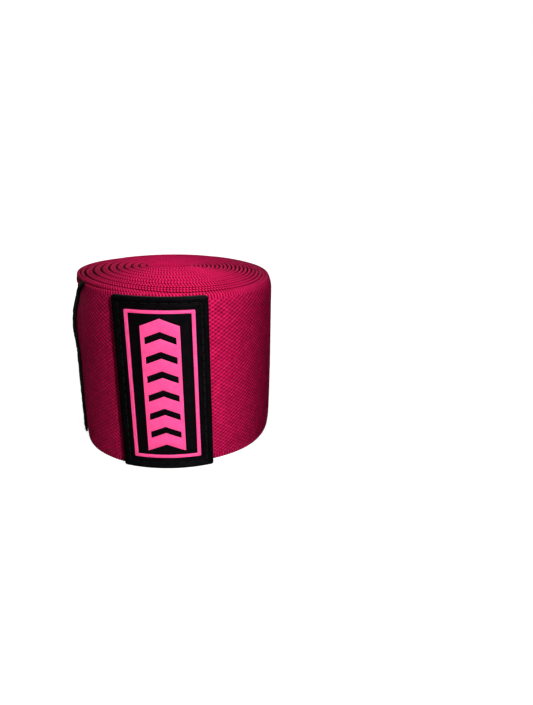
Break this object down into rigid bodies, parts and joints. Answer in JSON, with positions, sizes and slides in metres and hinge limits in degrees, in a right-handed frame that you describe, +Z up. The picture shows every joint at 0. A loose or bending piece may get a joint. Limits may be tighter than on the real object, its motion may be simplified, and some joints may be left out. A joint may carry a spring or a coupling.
{
  "type": "hand wrap",
  "caption": "Rolled boxing hand wrap: a woven band wound round a thumb loop, its end tab with a moulded badge and hook strip, and a loop patch on the outer round.",
  "frame": {"origin": "middle of the foot of the whole wrap's box, with the roll standing on one selvedge", "axes": "+Z up along the roll's axis, -Y the way the badge on the end tab faces, +X to the right of the badge as seen from the front"},
  "size_m": [0.06, 0.0636, 0.0514],
  "materials": {
    "band": "woven elastic cotton, matt",
    "loop_pile": "brushed loop pile, matt",
    "hook_strip": "moulded nylon hooks, matt",
    "badge_rubber": "soft moulded rubber, satin",
    "badge_print": "soft moulded rubber, satin",
    "black_thread": "twisted polyester thread"
  },
  "bodies": {
    "roll": {"wound_band": "band", "thumb_loop": "band"},
    "back_run": {"band_back_run": "band", "loop_patch": "loop_pile", "loop_patch_thread": "black_thread"},
    "front_run": {"band_front_run": "band"},
    "end_tab": {"band_end_tab": "band", "hook_strip": "hook_strip", "badge_base": "badge_rubber", "badge_outline": "badge_print", "badge_mark": "badge_print", "badge_thread": "black_thread"}
  },
  "joints": [
    {"name": "tail_unwrap", "type": "hinge", "parent": "roll", "child": "back_run", "pos_m": [0.01572, 0.02602, 0.025], "axis": [0, 0, -1], "range_deg": [0, 40]},
    {"name": "front_run_lift", "type": "hinge", "parent": "back_run", "child": "front_run", "pos_m": [-0.02285, -0.01726, 0.025], "axis": [0.0007, -0.001, -1], "range_deg": [0, 80]},
    {"name": "tab_peel", "type": "hinge", "parent": "front_run", "child": "end_tab", "pos_m": [-0.01218, -0.02674, 0.0252], "axis": [0.0234, -0.0117, -0.9997], "range_deg": [0, 110]}
  ],
  "couplings": [
    {"joint": "front_run_lift", "follows": "tail_unwrap", "ratio": 2}
  ]
}
